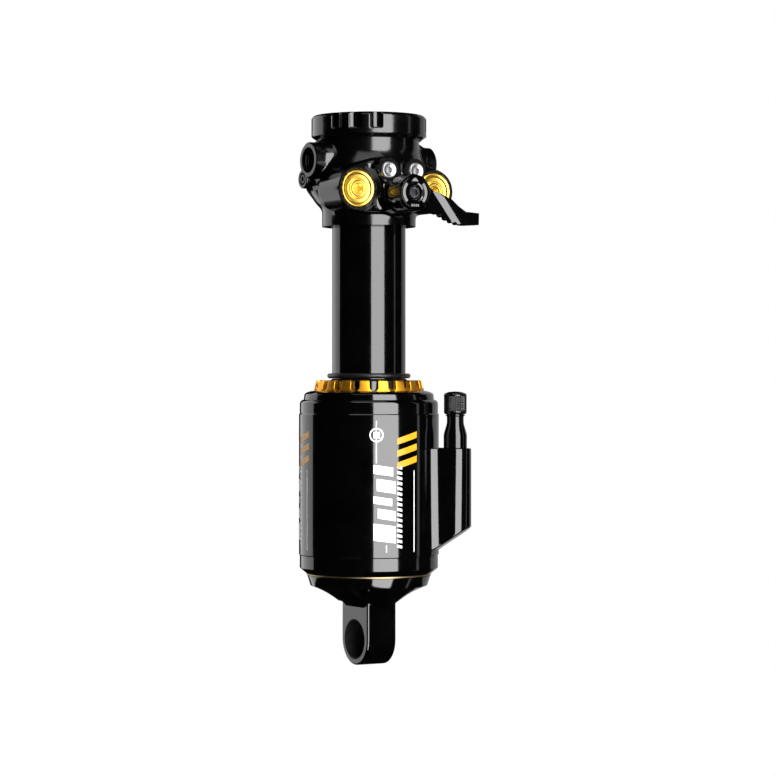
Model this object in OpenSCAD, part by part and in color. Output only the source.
// Air-sprung rear shock for a bicycle, trunnion mounted at the head, with a single eyelet below.
// Origin: centre of the lower eyelet. +Z runs up the shock to the head, X is the mounting axis,
// and the adjusters and the climb switch face -Y. Drawn at full extension, in millimetres.

/* [Fit in the frame] */
// Distance from the trunnion axis down to the lower eyelet axis
eye_to_eye = 185; // [180:1:200]
// Travel from full extension to full compression
stroke = 55; // [45:0.5:55]
// Width over the two trunnion faces
trunnion_w = 54; // [53:0.5:56]
// Tapping radius of the M10 x 1 trunnion threads
trunnion_r = 4.46; // [4.4:0.02:4.6]
// Width of the lower eyelet
eyelet_w = 12.7; // [11:0.1:13]
// Outer radius of the lower eyelet
eyelet_r = 10; // [9.6:0.1:10.4]
// Inner radius of the eyelet bushing
bushing_r = 7.35; // [7.2:0.05:7.4]

/* [Air can] */
// Radius of the air can over its raised middle band
can_r = 27.25; // [27.2:0.05:28]
// Inner radius of the bore that the air piston runs in
air_bore_r = 20; // [19.8:0.05:20.1]
// Number of lobes round the castellated collar
collar_lobes = 18; // [12:1:20]

/* [Damper] */
// Outer radius of the damper tube
tube_r = 14.25; // [14:0.05:14.4]
// Radius of the damper shaft
shaft_r = 5; // [4.5:0.1:5.2]
// Running clearance between parts that slide
running = 0.05; // [0.03:0.01:0.08]

/* [Head] */
// Radius of the reservoir cap
cap_r = 22.3; // [21.8:0.1:22.5]
// Number of groups of three flutes round the reservoir cap
cap_flute_groups = 3; // [1:1:4]
// Radius of the trunnion bosses
ear_r = 6.8; // [6.6:0.1:7]

/* [Controls] */
// Sideways distance of each low-speed knob from the middle
knob_x = 16.9; // [16.6:0.1:17.2]
// Radius of the low-speed knobs
knob_r = 7.2; // [6.8:0.1:7.3]
// Radius of the climb switch dial
dial_r = 7; // [6.8:0.1:7.1]

/* [Air valve] */
// Distance of the valve stem from the shock's axis
valve_rho = 34.5; // [34.4:0.1:35.5]
// Direction of the valve stem round the shock, from +X
valve_angle = -45; // [-60:5:-30]

/* [Hidden] */
$fn = 72;
gap = 0.02;             // clearance between parts that are screwed or pressed together

// Heights of the air side, from the eyelet axis
neck_z = 14.5;          // underside of the end cap's cone
cone_top_z = 20.7;      // widest edge of the cone
floor_z = 22.5;         // floor inside the end cap
can_z0 = 25.5;          // lower edge of the can
ledge_z = 26;           // ledge that carries the inner sleeve
spigot_z = 33;          // top of the end cap's spigot
can_z1 = 92.9;          // upper edge of the can
flange_z = 91.2;        // underside of the can's top flange
collar_z0 = 95;         // castellated collar
collar_z1 = 100.4;
band_z0 = 32.6;         // raised band on the can
band_z1 = 87.2;
edge_r = can_r - 0.35;  // radius of the can above and below the band
end_r = 24;             // radius of the end cap below the can
spigot_r = 23.25;
sleeve_wall = 1.5;
lobe_gap_r = 1.6;       // half the width of a gap between two lobes

// Air piston and the parts round the shaft
piston_z0 = ledge_z + 55.2;
piston_z1 = piston_z0 + 8.8;
tube_z0 = piston_z0 + 3.35;
tube_wall = 1.5;
seal_head_z1 = piston_z1 + 1.5;
inner_tube_r = 10.8;
inner_tube_wall = 1.2;
damping_piston_z = 95;
damping_piston_h = 8;
shaft_end_z = 16.5;
stud_r = 3;

// Heights of the head, counted from the trunnion axis
ear_z = eye_to_eye;
collar_bottom = ear_z - 25;
socket_top = ear_z - 18.2;
knob_z = ear_z - 11.8;
dial_z = ear_z - 13.6;
speed_z = ear_z - 4.7;
chamber_z = ear_z + 2.6;
head_top = ear_z + 11;
cap_z0 = ear_z + 8.4;
cap_z1 = ear_z + 18;
flute_z0 = ear_z + 11.7;
flute_pitch = 21.2;             // degrees between the flutes of a group
flute_phase = -133.7;           // direction of the first group's middle flute
head_r = 19.3;
collar_r = 18.2;

// Depths of the controls, along Y
knob_front = -21.2;
knob_floor = -16.6;
boss_front = -25.3;
dial_front = -35;
hub_back = -27.2;
neck_back = -25.9;
speed_x = 6;
speed_front = -26.5;
speed_floor = -22.4;
bleed_y = 4.6;
bleed_z = ear_z - 7;
bleed_x = -25.9;

// Air valve heights
block_z1 = 74.2;
block_z0 = 31.5;
block_slope = 33.4;     // tilt of the block's underside
block_r = 6.15;
stem_z0 = 60;
thread_z1 = 94.2;
valve_cap_z0 = 87.3;
valve_cap_z1 = 96.1;
pin_z1 = 93.6;

// ---------- shared shapes ----------

function arc(centre, r, from, to, steps = 8) =
    [for (i = [0:steps]) let (a = from + (to - from) * i / steps)
        [centre[0] + r * cos(a), centre[1] + r * sin(a)]];

module turned(outline) rotate_extrude() polygon(outline);

module ring(inner, outer, z0, z1)
    turned([[inner, z0], [outer, z0], [outer, z1], [inner, z1]]);

module o_ring(r, cord, z) translate([0, 0, z]) rotate_extrude() translate([r, 0]) circle(cord);

module along_y(x, y, z) translate([x, y, z]) rotate([-90, 0, 0]) children();

module along_x(x, y, z) translate([x, y, z]) rotate([0, 90, 0]) children();

module at_valve() rotate([0, 0, valve_angle]) translate([valve_rho, 0, 0]) children();

module hex_prism(across_flats, h) cylinder(r = across_flats / sqrt(3), h = h, $fn = 6);

// Coil of round wire along +Z, from 0 to length
module coil(r, wire, length, turns) {
    per_turn = 12;
    sides = 6;
    rings = turns * per_turn;
    points = [for (i = [0:rings], s = [0:sides - 1])
        let (a = 360 * i / per_turn, b = 360 * s / sides,
             z = wire + (length - 2 * wire) * i / rings)
        [(r + wire * cos(b)) * cos(a), (r + wire * cos(b)) * sin(a), z + wire * sin(b)]];
    walls = [for (i = [0:rings - 1], s = [0:sides - 1])
        let (t = (s + 1) % sides, k = i * sides)
        [k + s, k + sides + s, k + sides + t, k + t]];
    first = [for (s = [0:sides - 1]) s];
    last = [for (s = [sides - 1:-1:0]) rings * sides + s];
    polyhedron(points, concat(walls, [first], [last]));
}

// ---------- air side: end cap, can and shaft ----------

module lower_end_cap() color("#141416") difference() {
    union() {
        rotate([90, 0, 90]) linear_extrude(eyelet_w, center = true) {
            circle(eyelet_r);
            translate([-eyelet_r, 0]) square([2 * eyelet_r, neck_z + 0.6]);
        }
        turned(concat([[0, neck_z]], arc([33.7, neck_z - 26.3], 34.4, 129, 109, 10),
            [[22.4, cone_top_z], [end_r, can_z0 - 0.65], [end_r - 1.1, can_z0 - 0.65],
             [end_r - 1.1, can_z0], [spigot_r, can_z0], [spigot_r, spigot_z],
             [air_bore_r + sleeve_wall + gap, spigot_z], [air_bore_r + sleeve_wall + gap, ledge_z],
             [air_bore_r - 0.5, ledge_z], [air_bore_r - 0.5, floor_z], [0, floor_z]]));
    }
    along_x(-eyelet_w, 0, 0) cylinder(r = bushing_r + 0.5 + gap, h = 2 * eyelet_w);
    translate([0, 0, shaft_end_z]) cylinder(r = shaft_r + gap, h = 10);
    o_ring(spigot_r, 0.8, spigot_z - 3);
}

module eyelet_bushing() color("#2b2622")
    along_x(-eyelet_w / 2, 0, 0) ring(bushing_r, bushing_r + 0.5, 0, eyelet_w);

module end_cap_ring() color("#b39a6e")
    ring(end_r - 1.08, end_r + 0.15, can_z0 - 0.62, can_z0 - 0.03);

module end_cap_o_ring() color("#101010") difference() {
    o_ring(spigot_r, 0.78, spigot_z - 3);
    ring(spigot_r + 0.01, spigot_r + 2, spigot_z - 5, spigot_z);
}

// Outline of the block that carries the valve, seen from above, with the valve axis at the origin
module valve_block_outline() {
    flare = [[-2.5, block_r], [-5.5, block_r + 0.7], [-7.6, block_r + 2.1], [-9.4, block_r + 4.4]];
    circle(block_r);
    polygon(concat([[-10.5, block_r + 5], [-10.5, -block_r - 5]],
        [for (i = [3:-1:0]) [flare[i][0], -flare[i][1]]],
        [[0, -block_r], [0, block_r]], flare));
}

module air_can_sleeve() color("#0e0e10") difference() {
    union() {
        turned(concat([[spigot_r + gap, can_z0], [end_r + 0.3, can_z0], [edge_r, can_z0 + 2.3],
            [edge_r, band_z0], [can_r, band_z0 + 0.4], [can_r, band_z1], [edge_r, band_z1 + 0.4]],
            arc([edge_r - 1.6, can_z1 - 1.6], 1.6, 0, 90, 6),
            [[edge_r - 1.6, can_z1], [spigot_r + gap, can_z1]]));
        difference() {
            at_valve() translate([0, 0, block_z0]) linear_extrude(block_z1 - block_z0)
                valve_block_outline();
            // slanting underside of the block
            at_valve() translate([-12, 0, block_z0 + 0.5]) rotate([0, -block_slope, 0])
                translate([-10, -20, -30]) cube([60, 40, 30]);
        }
    }
    // bore for the end cap, then the wider chamber round the inner sleeve, then the flange
    translate([0, 0, can_z0 - 1]) cylinder(r = spigot_r + gap, h = 80);
    translate([0, 0, spigot_z + 0.5]) cylinder(r = edge_r - 1.6, h = 80);
    // threaded seat of the valve stem, and the port from it into the can
    at_valve() {
        translate([0, 0, stem_z0 - gap]) cylinder(r = 4 + gap, h = 40);
        translate([0, 0, stem_z0 - 6]) cylinder(r = 1.6, h = 10);
        translate([0, 0, stem_z0 - 4.4]) rotate([0, -90, 0]) cylinder(r = 1.2, h = 12);
    }
}

module inner_air_sleeve() color("#8f9296") difference() {
    ring(air_bore_r, air_bore_r + sleeve_wall, ledge_z + 0.05, flange_z - 0.05);
    // bypass dimples that fill the outer chamber at full extension
    for (a = [0:120:240]) rotate([0, 0, a]) along_x(air_bore_r - 2, 0, 76) cylinder(r = 1, h = 6);
}

module volume_spacer() color("#2a62a8") rotate([0, 0, 30])
    rotate_extrude(angle = 300) translate([air_bore_r + sleeve_wall + 0.2, 36]) square([3.3, 20]);

module can_top_flange() color("#121214") difference() {
    turned([[tube_r + 0.3, flange_z], [air_bore_r + sleeve_wall + gap, flange_z],
        [air_bore_r + sleeve_wall + gap, 86], [edge_r - 1.62, 86],
        [edge_r - 1.62, can_z1 + 0.6], [edge_r - 1.8, collar_z0], [edge_r - 2.7, collar_z0 + 0.7],
        [22.6, collar_z0 + 1.2], [21.5, collar_z0 + 1.3], [21.5, collar_z0], [18.2, collar_z0],
        [18.2, collar_z1 - 0.4], [tube_r + 0.3, collar_z1 - 0.4]]);
    // grooves for the guide bushing, the quad seal and the wiper, from the bottom up
    translate([0, 0, flange_z + 0.3]) cylinder(r = tube_r + 1.1, h = 3.4);
    translate([0, 0, 95.3]) cylinder(r = tube_r + 2.5, h = 2.5);
    translate([0, 0, 98.3]) cylinder(r = tube_r + 2.8, h = 3);
}

module castellated_collar() color("#c8871b") difference() {
    turned([[18.25, collar_z0 + 0.03], [21.4, collar_z0 + 0.03], [21.3, collar_z0 + 1.6],
        [20.3, collar_z1 - 0.4], [19.9, collar_z1], [18.25, collar_z1]]);
    for (i = [0:collar_lobes - 1]) rotate([0, 0, 360 / collar_lobes * i]) {
        translate([20.4, 0, collar_z0 + 1.3]) cylinder(r = lobe_gap_r, h = 10, $fn = 24);
        translate([20.4, -lobe_gap_r, collar_z0 + 1.3]) cube([5, 2 * lobe_gap_r, 10]);
    }
}

module tube_guide_bushing() color("#6f5a3c")
    ring(tube_r + running, tube_r + 1.08, flange_z + 0.35, flange_z + 3.65);

module tube_quad_seal() color("#161616")
    turned([[tube_r + running, 95.35], [tube_r + 2.4, 95.35], [tube_r + 2.1, 96.55],
        [tube_r + 2.4, 97.75], [tube_r + running, 97.75], [tube_r + running + 0.3, 96.55]]);

module dust_wiper() color("#1a1a1c")
    turned([[tube_r + running, 98.35], [tube_r + 2.75, 98.35], [tube_r + 2.75, 99.9],
        [tube_r + 1, 100.3], [tube_r + running, 100.9]]);

module top_out_bumper() color("#1b1b1b") ring(15.5, 19, piston_z1 + 0.15, flange_z - 0.05);

module bottom_out_bumper() color("#26262a")
    turned([[shaft_r + 2, floor_z + gap], [16, floor_z + gap], [15, ledge_z - 0.2],
        [shaft_r + 3, ledge_z - 0.2]]);

module damper_shaft() color("#c9ccd0") {
    translate([0, 0, shaft_end_z + gap]) cylinder(r = shaft_r, h = damping_piston_z - shaft_end_z - gap);
    translate([0, 0, damping_piston_z - 1]) cylinder(r = stud_r, h = damping_piston_h + 6);
}

module damping_piston() color("#b8bcc2") difference() {
    ring(stud_r + gap, 9.5, damping_piston_z + gap, damping_piston_z + damping_piston_h);
    ring(8.8, 12, damping_piston_z + 2, damping_piston_z + 6);
    for (a = [0:60:300]) rotate([0, 0, a]) translate([6.2, 0, damping_piston_z - 1])
        cylinder(r = 0.9, h = damping_piston_h + 2);
}

module piston_band() color("#5a3f24")
    ring(8.82, 9.55, damping_piston_z + 2.05, damping_piston_z + 5.95);

module piston_nut() color("#d0d2d6") translate([0, 0, damping_piston_z + damping_piston_h + gap])
    difference() {
        hex_prism(10, 4);
        translate([0, 0, -1]) cylinder(r = stud_r + gap, h = 6);
    }

module shaft_top_out_ring() color("#222226")
    ring(shaft_r + gap, 8.4, seal_head_z1 + 0.6, damping_piston_z - gap);

module shaft_o_ring() color("#101010")
    o_ring(shaft_r + 0.98, 0.9, floor_z + 0.95);

// ---------- air valve ----------

module valve_stem() color("#131315") at_valve() difference() {
    turned(concat([[0, stem_z0], [4, stem_z0], [4, block_z1 + 0.02], [4.5, block_z1 + 0.02],
        [4.5, 79.2], [4.3, 80.2], [3.6, 82.2], [3.25, 83.6], [3.25, 86.4], [3.7, 86.7],
        [3.7, 86.95], [3.3, 87.1], [3.3, 87.5], [3.84, 87.9], [3.84, thread_z1 - 0.3],
        [3.5, thread_z1], [0, thread_z1]]));
    translate([0, 0, stem_z0 - 1]) cylinder(r = 1.6, h = 40);
    translate([0, 0, 78]) cylinder(r = 2.5, h = 20);
}

module valve_core() color("#c9a14a") at_valve() difference() {
    union() {
        translate([0, 0, 78.02]) cylinder(r = 2.46, h = 6);
        translate([0, 0, 84]) cylinder(r = 2.1, h = 3);
        translate([0, 0, 87]) cylinder(r = 2.46, h = 5);
    }
    translate([0, 0, 77]) cylinder(r = 1, h = 2.2);
    translate([0, 0, 79]) cylinder(r = 1.6, h = 4.2);
    translate([0, 0, 83]) cylinder(r = 0.75, h = 12);
    // flats that the valve tool grips
    for (side = [-1, 1]) translate([side * 3.2 - 1.4, -3, 90]) cube([2.8, 6, 4]);
}

module valve_core_pin() color("#d8d2c0") at_valve() {
    translate([0, 0, 82.2]) cylinder(r = 0.6, h = pin_z1 - 82.2);
    translate([0, 0, pin_z1 - 0.5]) cylinder(r = 0.85, h = 0.5);
    translate([0, 0, 82.1]) cylinder(r = 1.4, h = 0.8);
}

module valve_core_spring() color("#9ea2a8") at_valve() translate([0, 0, 79.25]) coil(1.15, 0.16, 2.7, 4);

module valve_cap() color("#151517") at_valve() difference() {
    turned(concat([[0, valve_cap_z0], [3.95, valve_cap_z0], [4.4, valve_cap_z0 + 0.9]],
        [[4.4, valve_cap_z1 - 1.3], [4.1, valve_cap_z1 - 0.8], [2.4, valve_cap_z1 - 0.2],
         [0, valve_cap_z1]]));
    translate([0, 0, valve_cap_z0 - 1]) cylinder(r = 3.93, h = thread_z1 + 0.85 - valve_cap_z0 + 1);
}

module valve_cap_seal() color("#2a2a2c") at_valve() ring(1.6, 3.8, thread_z1 + 0.1, thread_z1 + 0.75);

// ---------- air piston and damper ----------

module air_piston_quad_ring() color("#161616")
    turned([[air_bore_r - 2.4, piston_z0 + 4.9], [air_bore_r - 0.04, piston_z0 + 4.9],
        [air_bore_r - 0.3, piston_z0 + 6.2], [air_bore_r - 0.04, piston_z0 + 7.5],
        [air_bore_r - 2.4, piston_z0 + 7.5], [air_bore_r - 2.1, piston_z0 + 6.2]]);

module air_piston_guide_band() color("#6f5a3c")
    ring(air_bore_r - 1.2, air_bore_r - 0.04, piston_z0 + 1.3, piston_z0 + 3.6);

module air_piston() color("#a9adb3") difference() {
    ring(9, air_bore_r - 0.12, piston_z0, piston_z1);
    translate([0, 0, tube_z0 - gap]) cylinder(r = tube_r + gap, h = 10);
    ring(air_bore_r - 2.45, air_bore_r + 1, piston_z0 + 4.8, piston_z0 + 7.6);
    ring(air_bore_r - 1.25, air_bore_r + 1, piston_z0 + 1.2, piston_z0 + 3.7);
}

module damper_tube() color("#0c0c0e") ring(tube_r - tube_wall, tube_r, tube_z0, socket_top - gap);

module inner_tube() color("#a2a6ac")
    ring(inner_tube_r - inner_tube_wall, inner_tube_r, seal_head_z1 + gap, socket_top - gap);

module seal_head() color("#8d9197") difference() {
    union() {
        translate([0, 0, piston_z0]) cylinder(r = 9 - gap, h = tube_z0 - piston_z0);
        translate([0, 0, tube_z0]) cylinder(r = tube_r - tube_wall - gap, h = seal_head_z1 - tube_z0);
    }
    translate([0, 0, piston_z0 - 1]) cylinder(r = shaft_r + 0.3, h = 20);
    translate([0, 0, piston_z0 + 0.6]) cylinder(r = shaft_r + 2, h = 2.6);
    translate([0, 0, piston_z0 + 4.2]) cylinder(r = shaft_r + 1.1, h = 5);
}

module shaft_bushing() color("#6f5a3c")
    ring(shaft_r + running, shaft_r + 1.08, piston_z0 + 4.25, piston_z0 + 9.15);

module shaft_seal() color("#151515")
    turned([[shaft_r + running, piston_z0 + 0.65], [shaft_r + 1.95, piston_z0 + 0.65],
        [shaft_r + 1.95, piston_z0 + 3.15], [shaft_r + 0.8, piston_z0 + 3.15],
        [shaft_r + 0.5, piston_z0 + 2], [shaft_r + running, piston_z0 + 1.6]]);

// ---------- head ----------

// Rough body of the head: bowl, reservoir, trunnion bosses and control bosses
module head_blank() {
    turned([[0, collar_bottom], [collar_r, collar_bottom], [collar_r, collar_bottom + 6.4],
        [21.2, ear_z - 15.2], [23.2, ear_z - 12.4], [24.4, ear_z - 9.4], [24.3, ear_z - 6.4],
        [22.6, ear_z - 2.6], [20.4, ear_z + 1], [head_r, ear_z + 4], [head_r, head_top],
        [0, head_top]]);
    along_x(-trunnion_w / 2, 0, ear_z) cylinder(r = ear_r, h = trunnion_w);
    for (side = [-1, 1]) {
        along_y(side * knob_x, knob_front, knob_z) cylinder(r = 8.5, h = 18);
        along_y(side * speed_x, boss_front, speed_z) cylinder(r = 4.9, h = 20);
    }
    along_y(0, boss_front, dial_z + 0.5) cylinder(r = 8.2, h = 20);
    // web between the bosses
    translate([0, knob_front + 1, 0]) rotate([-90, 0, 0]) linear_extrude(14)
        polygon([for (p = [[-knob_x, knob_z - 8.3], [knob_x, knob_z - 8.3], [knob_x + 2.6, knob_z + 7.9],
            [speed_x + 1.4, speed_z + 4.6], [-speed_x - 1.4, speed_z + 4.6],
            [-knob_x - 2.6, knob_z + 7.9]]) [p[0], -p[1]]]);
    along_x(bleed_x, bleed_y, bleed_z) cylinder(r = 3.2, h = 12);
}

module valve_body() color("#101012") difference() {
    head_blank();
    // trunnion threads
    for (side = [-1, 1]) along_x(side * (trunnion_w / 2 - 11.5) - (side < 0 ? 20 : 0), 0, ear_z)
        cylinder(r = trunnion_r, h = 20);
    // tube socket and the passage to the reservoir
    translate([0, 0, collar_bottom - 1]) cylinder(r = tube_r + gap, h = socket_top - collar_bottom + 1);
    ring(tube_r - 0.1, tube_r + 1.4, collar_bottom + 2.6, collar_bottom + 4.2);
    translate([0, 0, socket_top - 1]) cylinder(r = 3.5, h = 30);
    // reservoir
    translate([0, 0, chamber_z]) cylinder(r = 13.6, h = 20);
    translate([0, 0, ear_z + 7]) cylinder(r = 16.5, h = 20);
    for (side = [-1, 1]) {
        along_y(side * knob_x, knob_front - 1, knob_z) cylinder(r = knob_r + 0.1, h = knob_floor - knob_front + 1);
        along_y(side * knob_x, knob_floor - 1, knob_z) cylinder(r = 2.6, h = 12);
        along_y(side * speed_x, speed_front - 3, speed_z) cylinder(r = 3.45, h = speed_floor - speed_front + 3);
        along_y(side * speed_x, speed_floor - 1, speed_z) cylinder(r = 2.7, h = 13.75);
        along_y(side * speed_x, speed_floor - 1, speed_z) cylinder(r = 1.2, h = 17);
    }
    // climb switch spindle, and the pocket of its detent
    along_y(0, boss_front - 1, dial_z) cylinder(r = 3 + running, h = 16);
    along_y(5.4, boss_front - 1, dial_z - 1) cylinder(r = 1.15, h = 6.5);
    // bleed port
    along_x(bleed_x - 1, bleed_y, bleed_z) cylinder(r = 2, h = 5);
}

module reservoir_cap() color("#0f0f11") difference() {
    turned([[0, ear_z + 7.3], [16.4, ear_z + 7.3], [16.4, head_top + 0.1], [head_r + 0.1, head_top + 0.1],
        [head_r + 0.1, cap_z0], [20.2, cap_z0], [cap_r, cap_z0 + 1.5], [cap_r, cap_z1 - 1.2],
        [cap_r - 1.2, cap_z1], [15.2, cap_z1], [14.4, cap_z1 - 0.8], [0, cap_z1 - 0.8]]);
    for (g = [0:cap_flute_groups - 1]) for (i = [-1:1])
        rotate([0, 0, flute_phase + 360 / cap_flute_groups * g + flute_pitch * i])
        translate([cap_r + 1.9, 0, flute_z0]) cylinder(r = 3.2, h = 20, $fn = 40);
    translate([0, 0, ear_z]) cylinder(r = 12.2, h = 14);
    o_ring(16.4, 0.75, ear_z + 9);
    translate([0, 0, cap_z1 - 3]) hex_prism(6, 5);
}

module reservoir_cap_o_ring() color("#101010") difference() {
    o_ring(16.4, 0.73, ear_z + 9);
    ring(16.47, 18, ear_z + 6, ear_z + 12);
}

module bladder() color("#1c1c20")
    turned([[0, chamber_z + 0.6], [12, chamber_z + 0.6], [13.2, chamber_z + 1.8], [13.2, ear_z + 7.02],
        [16, ear_z + 7.02], [16, ear_z + 7.28], [12.1, ear_z + 7.28], [12.1, chamber_z + 2],
        [11.6, chamber_z + 1.6], [0, chamber_z + 1.6]]);

module tube_o_ring() color("#101010") difference() {
    o_ring(tube_r + 0.6, 0.75, collar_bottom + 3.4);
    ring(tube_r - 1, tube_r + gap, collar_bottom, socket_top);
}

module bleed_screw() color("#1b1b1e") along_x(bleed_x + 0.3, bleed_y, bleed_z) difference() {
    cylinder(r = 2 - gap, h = 3.6);
    translate([0, 0, -1]) hex_prism(2, 2.6);
}

// ---------- adjusters and climb switch ----------

module low_speed_knob(side) color("#d79a17") along_y(side * knob_x, knob_front - 0.3, knob_z) difference() {
    turned([[0, 0.9], [3.1, 0.9], [3.1, 0.2], [3.6, 0.2], [4.6, 0.7], [5.8, 0.7], [6.3, 0],
        [knob_r - 0.3, 0], [knob_r, 0.3], [knob_r, 4.7], [2.4, 4.7], [2.4, 6.4], [0, 6.4]]);
    translate([0, 0, -1]) hex_prism(3, 4.2);
    for (i = [0:23]) rotate([0, 0, 15 * i]) translate([knob_r + 0.25, 0, -1])
        cylinder(r = 0.62, h = 2.4, $fn = 16);
}

module low_speed_needle(side) color("#c9ccd0") along_y(side * knob_x, knob_floor + 2.5, knob_z)
    turned([[0, 0.1], [2.45, 0.1], [2.45, 3.4], [1.2, 3.9], [1.2, 5], [0.3, 7], [0, 7]]);

module high_speed_screw(side) color("#c4c6ca") along_y(side * speed_x, speed_front, speed_z) difference() {
    turned([[0, 0], [2.9, 0], [3.3, 0.4], [3.3, 4], [2.2, 4], [2.2, 6.2], [0, 6.2]]);
    translate([0, 0, -1]) hex_prism(3, 3.6);
}

module high_speed_seat(side) color("#9b8a55") along_y(side * speed_x, -19, speed_z)
    turned([[0, 0], [2.6, 0], [2.6, 1.4], [1.3, 1.4], [1.3, 2.2], [0, 2.2]]);

module high_speed_spring(side) color("#8e9298")
    along_y(side * speed_x, -17.5, speed_z) coil(2.1, 0.3, 5.1, 4);

module high_speed_poppet(side) color("#c9ccd0") along_y(side * speed_x, -12.3, speed_z)
    turned([[0, -0.8], [1.4, -0.8], [1.4, 0], [2.6, 0], [2.6, 1.2], [1.6, 2.6], [0, 2.6]]);

module compression_low_knob() low_speed_knob(-1);
module compression_low_needle() low_speed_needle(-1);
module rebound_low_knob() low_speed_knob(1);
module rebound_low_needle() low_speed_needle(1);
module compression_high_screw() high_speed_screw(-1);
module compression_high_seat() high_speed_seat(-1);
module compression_high_spring() high_speed_spring(-1);
module compression_high_poppet() high_speed_poppet(-1);
module rebound_high_screw() high_speed_screw(1);
module rebound_high_seat() high_speed_seat(1);
module rebound_high_spring() high_speed_spring(1);
module rebound_high_poppet() high_speed_poppet(1);

// Side outline of the lever's arm, from the dial axis: X to the right, Y up
arm_outline = [[3, 5.6], [8, 4.2], [11, 1.8], [15, 0.6], [18.6, -0.9], [22, -3.6], [25.3, -5.9],
    [29, -6.5], [29, -11], [24.8, -11.5], [21.5, -11.4], [18.2, -10.4], [16, -9.2], [13, -7.6],
    [6.5, -6.2], [0, -5]];

module climb_switch_lever() color("#101012") difference() {
    union() {
        along_y(0, dial_front, dial_z) turned([[0, 1.1], [7.1, 1.1], [7.2, 2.7], [7.5, 3.3],
            [7.7, hub_back - dial_front], [6.9, hub_back - dial_front], [6.9, neck_back - dial_front],
            [0, neck_back - dial_front]]);
        // the arm steps forward as it leaves the hub
        intersection() {
            translate([0, dial_front, dial_z]) rotate([-90, 0, 0]) linear_extrude(-dial_front + hub_back)
                polygon([for (p = arm_outline) [p[0], -p[1]]]);
            translate([0, 0, dial_z - 20]) linear_extrude(40)
                polygon([[0, hub_back], [0, dial_front + 4.4], [9, dial_front + 4.4], [20, dial_front + 1.2],
                    [30, dial_front + 1], [30, dial_front + 6.2], [22, dial_front + 6.6],
                    [14, hub_back]]);
        }
    }
    along_y(0, dial_front, dial_z) cylinder(r = 3.2, h = 12);
    // ring track that the detent ball runs in
    along_y(0, neck_back - 0.6, dial_z) ring(4.1, 6.7, 0, 2);
}

module climb_switch_dial() color("#17171a") along_y(0, dial_front, dial_z)
    turned([[2.7, 0.35], [2.7, 1.08], [dial_r, 1.08], [dial_r, 0.4], [dial_r - 0.4, 0], [3.9, 0],
        [3.5, 0.35]]);

module climb_switch_screw() color("#3a3a44") along_y(0, dial_front + 0.3, dial_z) difference() {
    union() {
        cylinder(r = 2.5, h = 1.6);
        translate([0, 0, 1.6]) cylinder(r = 1.5, h = 5);
    }
    translate([0, 0, -1]) hex_prism(2.5, 2.2);
}

module climb_switch_spindle() color("#b9bcc2") along_y(0, dial_front + 2, dial_z) difference() {
    union() {
        cylinder(r = 3.18, h = 5.6);
        translate([0, 0, 5.6]) cylinder(r = 3, h = 17);
    }
    translate([0, 0, -1]) cylinder(r = 1.52, h = 6.4);
    translate([-4, 1.6, 16]) cube([8, 4, 4]);
}

module detent_ball() color("#c9ccd0") translate([5.4, boss_front + 0.05, dial_z - 1]) sphere(1.05);

module detent_spring() color("#9ea2a8") along_y(5.4, boss_front + 1.3, dial_z - 1) coil(0.75, 0.18, 3.9, 4);

module sag_ring() color("#101012") o_ring(tube_r + 1.02, 0.97, 102.1);

// ---------- output ----------

lower_end_cap();
eyelet_bushing();
end_cap_ring();
end_cap_o_ring();
air_can_sleeve();
inner_air_sleeve();
volume_spacer();
can_top_flange();
castellated_collar();
tube_guide_bushing();
tube_quad_seal();
dust_wiper();
top_out_bumper();
bottom_out_bumper();
damper_shaft();
damping_piston();
piston_band();
piston_nut();
shaft_top_out_ring();
shaft_o_ring();
valve_stem();
valve_core();
valve_core_pin();
valve_core_spring();
valve_cap();
valve_cap_seal();
air_piston_quad_ring();
air_piston_guide_band();
air_piston();
damper_tube();
inner_tube();
seal_head();
shaft_bushing();
shaft_seal();
valve_body();
reservoir_cap();
reservoir_cap_o_ring();
bladder();
tube_o_ring();
bleed_screw();
compression_low_knob();
compression_low_needle();
rebound_low_knob();
rebound_low_needle();
compression_high_screw();
compression_high_seat();
compression_high_spring();
compression_high_poppet();
rebound_high_screw();
rebound_high_seat();
rebound_high_spring();
rebound_high_poppet();
climb_switch_lever();
climb_switch_dial();
climb_switch_screw();
climb_switch_spindle();
detent_ball();
detent_spring();
sag_ring();
